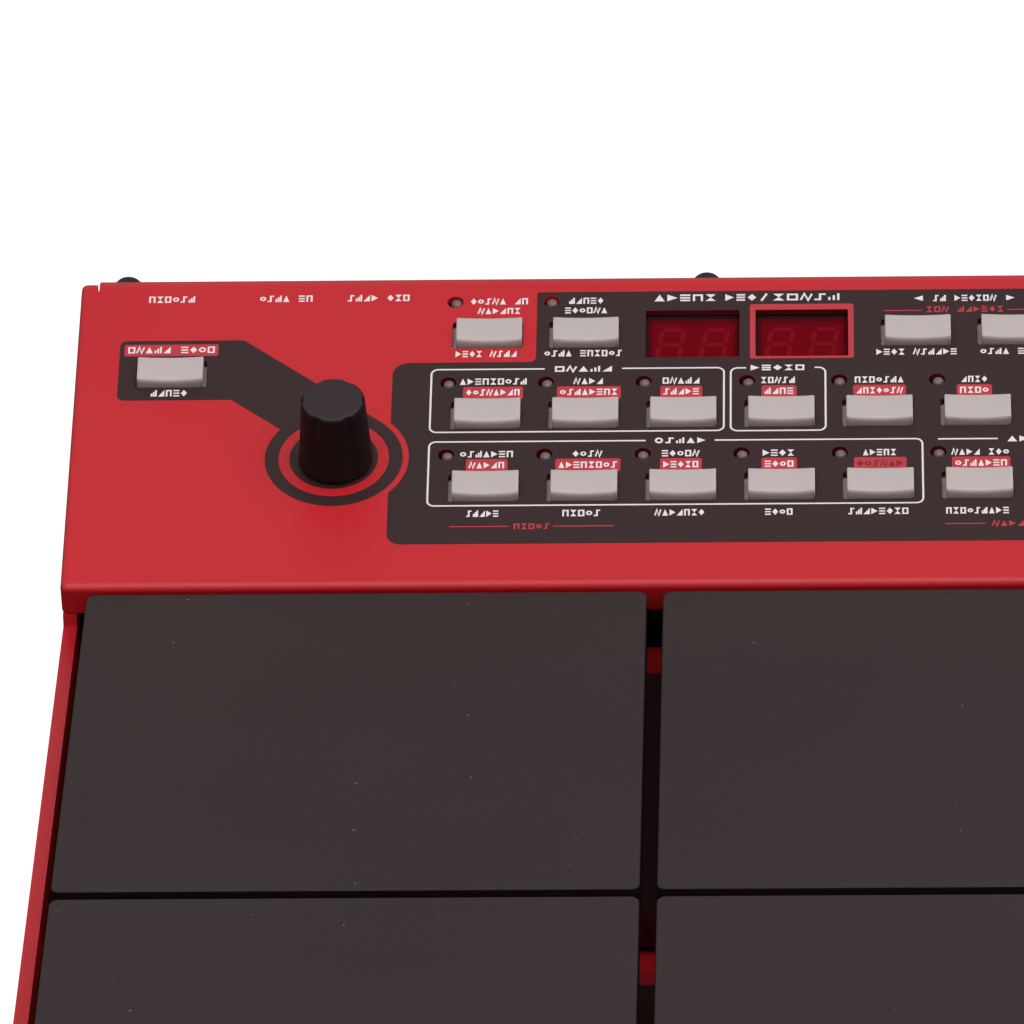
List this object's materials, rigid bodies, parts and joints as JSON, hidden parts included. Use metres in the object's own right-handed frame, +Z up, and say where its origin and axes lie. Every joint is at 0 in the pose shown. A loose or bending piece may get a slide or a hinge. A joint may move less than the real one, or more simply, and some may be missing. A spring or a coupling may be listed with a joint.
{
  "type": "electronic drum pad",
  "caption": "Tabletop electronic drum pad: dark square rubber pads in a red folded-metal case with a sloping control panel of keys, lamps, display and knobs.",
  "frame": {"origin": "bottom centre of the bounding box, on the surface that the feet stand on", "axes": "+X to the right along the width, +Y to the rear, +Z up; the player sits on the -Y side"},
  "size_m": [0.306, 0.2872, 0.0548],
  "materials": {
    "red_paint": "satin powder coat",
    "pad_rubber": "matt",
    "plate_steel": "zinc plated",
    "foam": "open-cell foam",
    "key_plastic": "fine texture",
    "knob_plastic": "fine texture",
    "circuit_board": "solder mask",
    "sensor_film": "film",
    "socket_housing": "moulded",
    "control_body": "plated",
    "display_face": "smooth",
    "screw_black": "black zinc",
    "foot_rubber": "matt"
  },
  "bodies": {
    "case": {"base_tray": "red_paint", "control_panel": "red_paint", "pad_deck": "red_paint", "panel_board": "circuit_board", "main_board": "circuit_board", "pad_foam_rear": "foam", "pad_foam_front": "foam", "sensor_flex": "sensor_film", "value_encoder": "control_body", "level_pot": "control_body", "display_module": "display_face", "phones_jack": "socket_housing", "left_out_jack": "socket_housing", "right_out_jack": "socket_housing", "trigger_jack": "socket_housing", "midi_sockets": "socket_housing", "dc_inlet": "socket_housing", "foot_front_left": "foot_rubber", "foot_front_right": "foot_rubber", "foot_rear_left": "foot_rubber", "foot_rear_right": "foot_rubber", "rear_screw_1": "screw_black", "rear_screw_2": "screw_black", "rear_screw_3": "screw_black", "rear_screw_4": "screw_black"},
    "key_side_body": {"key_side": "key_plastic"},
    "key_upper_1_body": {"key_upper_1": "key_plastic"},
    "key_upper_2_body": {"key_upper_2": "key_plastic"},
    "key_upper_3_body": {"key_upper_3": "key_plastic"},
    "key_upper_4_body": {"key_upper_4": "key_plastic"},
    "key_middle_1_body": {"key_middle_1": "key_plastic"},
    "key_middle_2_body": {"key_middle_2": "key_plastic"},
    "key_middle_3_body": {"key_middle_3": "key_plastic"},
    "key_middle_4_body": {"key_middle_4": "key_plastic"},
    "key_middle_5_body": {"key_middle_5": "key_plastic"},
    "key_middle_6_body": {"key_middle_6": "key_plastic"},
    "key_middle_7_body": {"key_middle_7": "key_plastic"},
    "key_middle_8_body": {"key_middle_8": "key_plastic"},
    "key_lower_1_body": {"key_lower_1": "key_plastic"},
    "key_lower_2_body": {"key_lower_2": "key_plastic"},
    "key_lower_3_body": {"key_lower_3": "key_plastic"},
    "key_lower_4_body": {"key_lower_4": "key_plastic"},
    "key_lower_5_body": {"key_lower_5": "key_plastic"},
    "key_lower_6_body": {"key_lower_6": "key_plastic"},
    "key_lower_7_body": {"key_lower_7": "key_plastic"},
    "key_lower_8_body": {"key_lower_8": "key_plastic"},
    "pad_1_body": {"pad_skin_1": "pad_rubber", "pad_plate_1": "plate_steel"},
    "pad_2_body": {"pad_skin_2": "pad_rubber", "pad_plate_2": "plate_steel"},
    "pad_3_body": {"pad_skin_3": "pad_rubber", "pad_plate_3": "plate_steel"},
    "pad_4_body": {"pad_skin_4": "pad_rubber", "pad_plate_4": "plate_steel"},
    "pad_5_body": {"pad_skin_5": "pad_rubber", "pad_plate_5": "plate_steel"},
    "pad_6_body": {"pad_skin_6": "pad_rubber", "pad_plate_6": "plate_steel"},
    "value_knob_body": {"value_knob": "knob_plastic"},
    "level_knob_body": {"level_knob": "knob_plastic"}
  },
  "joints": [
    {"name": "key_side_press", "type": "slide", "parent": "case", "child": "key_side_body", "axis": [0, 0.2504, -0.9681], "range_m": [0, 0.0006], "stiffness_N_per_m": 400, "springref_m": -0.001},
    {"name": "key_upper_1_press", "type": "slide", "parent": "case", "child": "key_upper_1_body", "axis": [0, 0.2504, -0.9681], "range_m": [0, 0.0006], "stiffness_N_per_m": 400, "springref_m": -0.001},
    {"name": "key_upper_2_press", "type": "slide", "parent": "case", "child": "key_upper_2_body", "axis": [0, 0.2504, -0.9681], "range_m": [0, 0.0006], "stiffness_N_per_m": 400, "springref_m": -0.001},
    {"name": "key_upper_3_press", "type": "slide", "parent": "case", "child": "key_upper_3_body", "axis": [0, 0.2504, -0.9681], "range_m": [0, 0.0006], "stiffness_N_per_m": 400, "springref_m": -0.001},
    {"name": "key_upper_4_press", "type": "slide", "parent": "case", "child": "key_upper_4_body", "axis": [0, 0.2504, -0.9681], "range_m": [0, 0.0006], "stiffness_N_per_m": 400, "springref_m": -0.001},
    {"name": "key_middle_1_press", "type": "slide", "parent": "case", "child": "key_middle_1_body", "axis": [0, 0.2504, -0.9681], "range_m": [0, 0.0006], "stiffness_N_per_m": 400, "springref_m": -0.001},
    {"name": "key_middle_2_press", "type": "slide", "parent": "case", "child": "key_middle_2_body", "axis": [0, 0.2504, -0.9681], "range_m": [0, 0.0006], "stiffness_N_per_m": 400, "springref_m": -0.001},
    {"name": "key_middle_3_press", "type": "slide", "parent": "case", "child": "key_middle_3_body", "axis": [0, 0.2504, -0.9681], "range_m": [0, 0.0006], "stiffness_N_per_m": 400, "springref_m": -0.001},
    {"name": "key_middle_4_press", "type": "slide", "parent": "case", "child": "key_middle_4_body", "axis": [0, 0.2504, -0.9681], "range_m": [0, 0.0006], "stiffness_N_per_m": 400, "springref_m": -0.001},
    {"name": "key_middle_5_press", "type": "slide", "parent": "case", "child": "key_middle_5_body", "axis": [0, 0.2504, -0.9681], "range_m": [0, 0.0006], "stiffness_N_per_m": 400, "springref_m": -0.001},
    {"name": "key_middle_6_press", "type": "slide", "parent": "case", "child": "key_middle_6_body", "axis": [0, 0.2504, -0.9681], "range_m": [0, 0.0006], "stiffness_N_per_m": 400, "springref_m": -0.001},
    {"name": "key_middle_7_press", "type": "slide", "parent": "case", "child": "key_middle_7_body", "axis": [0, 0.2504, -0.9681], "range_m": [0, 0.0006], "stiffness_N_per_m": 400, "springref_m": -0.001},
    {"name": "key_middle_8_press", "type": "slide", "parent": "case", "child": "key_middle_8_body", "axis": [0, 0.2504, -0.9681], "range_m": [0, 0.0006], "stiffness_N_per_m": 400, "springref_m": -0.001},
    {"name": "key_lower_1_press", "type": "slide", "parent": "case", "child": "key_lower_1_body", "axis": [0, 0.2504, -0.9681], "range_m": [0, 0.0006], "stiffness_N_per_m": 400, "springref_m": -0.001},
    {"name": "key_lower_2_press", "type": "slide", "parent": "case", "child": "key_lower_2_body", "axis": [0, 0.2504, -0.9681], "range_m": [0, 0.0006], "stiffness_N_per_m": 400, "springref_m": -0.001},
    {"name": "key_lower_3_press", "type": "slide", "parent": "case", "child": "key_lower_3_body", "axis": [0, 0.2504, -0.9681], "range_m": [0, 0.0006], "stiffness_N_per_m": 400, "springref_m": -0.001},
    {"name": "key_lower_4_press", "type": "slide", "parent": "case", "child": "key_lower_4_body", "axis": [0, 0.2504, -0.9681], "range_m": [0, 0.0006], "stiffness_N_per_m": 400, "springref_m": -0.001},
    {"name": "key_lower_5_press", "type": "slide", "parent": "case", "child": "key_lower_5_body", "axis": [0, 0.2504, -0.9681], "range_m": [0, 0.0006], "stiffness_N_per_m": 400, "springref_m": -0.001},
    {"name": "key_lower_6_press", "type": "slide", "parent": "case", "child": "key_lower_6_body", "axis": [0, 0.2504, -0.9681], "range_m": [0, 0.0006], "stiffness_N_per_m": 400, "springref_m": -0.001},
    {"name": "key_lower_7_press", "type": "slide", "parent": "case", "child": "key_lower_7_body", "axis": [0, 0.2504, -0.9681], "range_m": [0, 0.0006], "stiffness_N_per_m": 400, "springref_m": -0.001},
    {"name": "key_lower_8_press", "type": "slide", "parent": "case", "child": "key_lower_8_body", "axis": [0, 0.2504, -0.9681], "range_m": [0, 0.0006], "stiffness_N_per_m": 400, "springref_m": -0.001},
    {"name": "pad_1_press", "type": "slide", "parent": "case", "child": "pad_1_body", "axis": [0, 0, -1], "range_m": [0, 0.001], "stiffness_N_per_m": 20000, "springref_m": -0.0003, "deforming": ["pad_foam_rear"]},
    {"name": "pad_2_press", "type": "slide", "parent": "case", "child": "pad_2_body", "axis": [0, 0, -1], "range_m": [0, 0.001], "stiffness_N_per_m": 20000, "springref_m": -0.0003, "deforming": ["pad_foam_rear"]},
    {"name": "pad_3_press", "type": "slide", "parent": "case", "child": "pad_3_body", "axis": [0, 0, -1], "range_m": [0, 0.001], "stiffness_N_per_m": 20000, "springref_m": -0.0003, "deforming": ["pad_foam_rear"]},
    {"name": "pad_4_press", "type": "slide", "parent": "case", "child": "pad_4_body", "axis": [0, 0, -1], "range_m": [0, 0.001], "stiffness_N_per_m": 20000, "springref_m": -0.0003, "deforming": ["pad_foam_front"]},
    {"name": "pad_5_press", "type": "slide", "parent": "case", "child": "pad_5_body", "axis": [0, 0, -1], "range_m": [0, 0.001], "stiffness_N_per_m": 20000, "springref_m": -0.0003, "deforming": ["pad_foam_front"]},
    {"name": "pad_6_press", "type": "slide", "parent": "case", "child": "pad_6_body", "axis": [0, 0, -1], "range_m": [0, 0.001], "stiffness_N_per_m": 20000, "springref_m": -0.0003, "deforming": ["pad_foam_front"]},
    {"name": "value_knob_turn", "type": "hinge", "parent": "case", "child": "value_knob_body", "pos_m": [-0.1061, 0.09019, 0.03941], "axis": [0, -0.2504, 0.9681], "continuous": true},
    {"name": "level_knob_turn", "type": "hinge", "parent": "case", "child": "level_knob_body", "pos_m": [0.1061, 0.09019, 0.03941], "axis": [0, -0.2504, 0.9681], "range_deg": [-150, 150]}
  ]
}
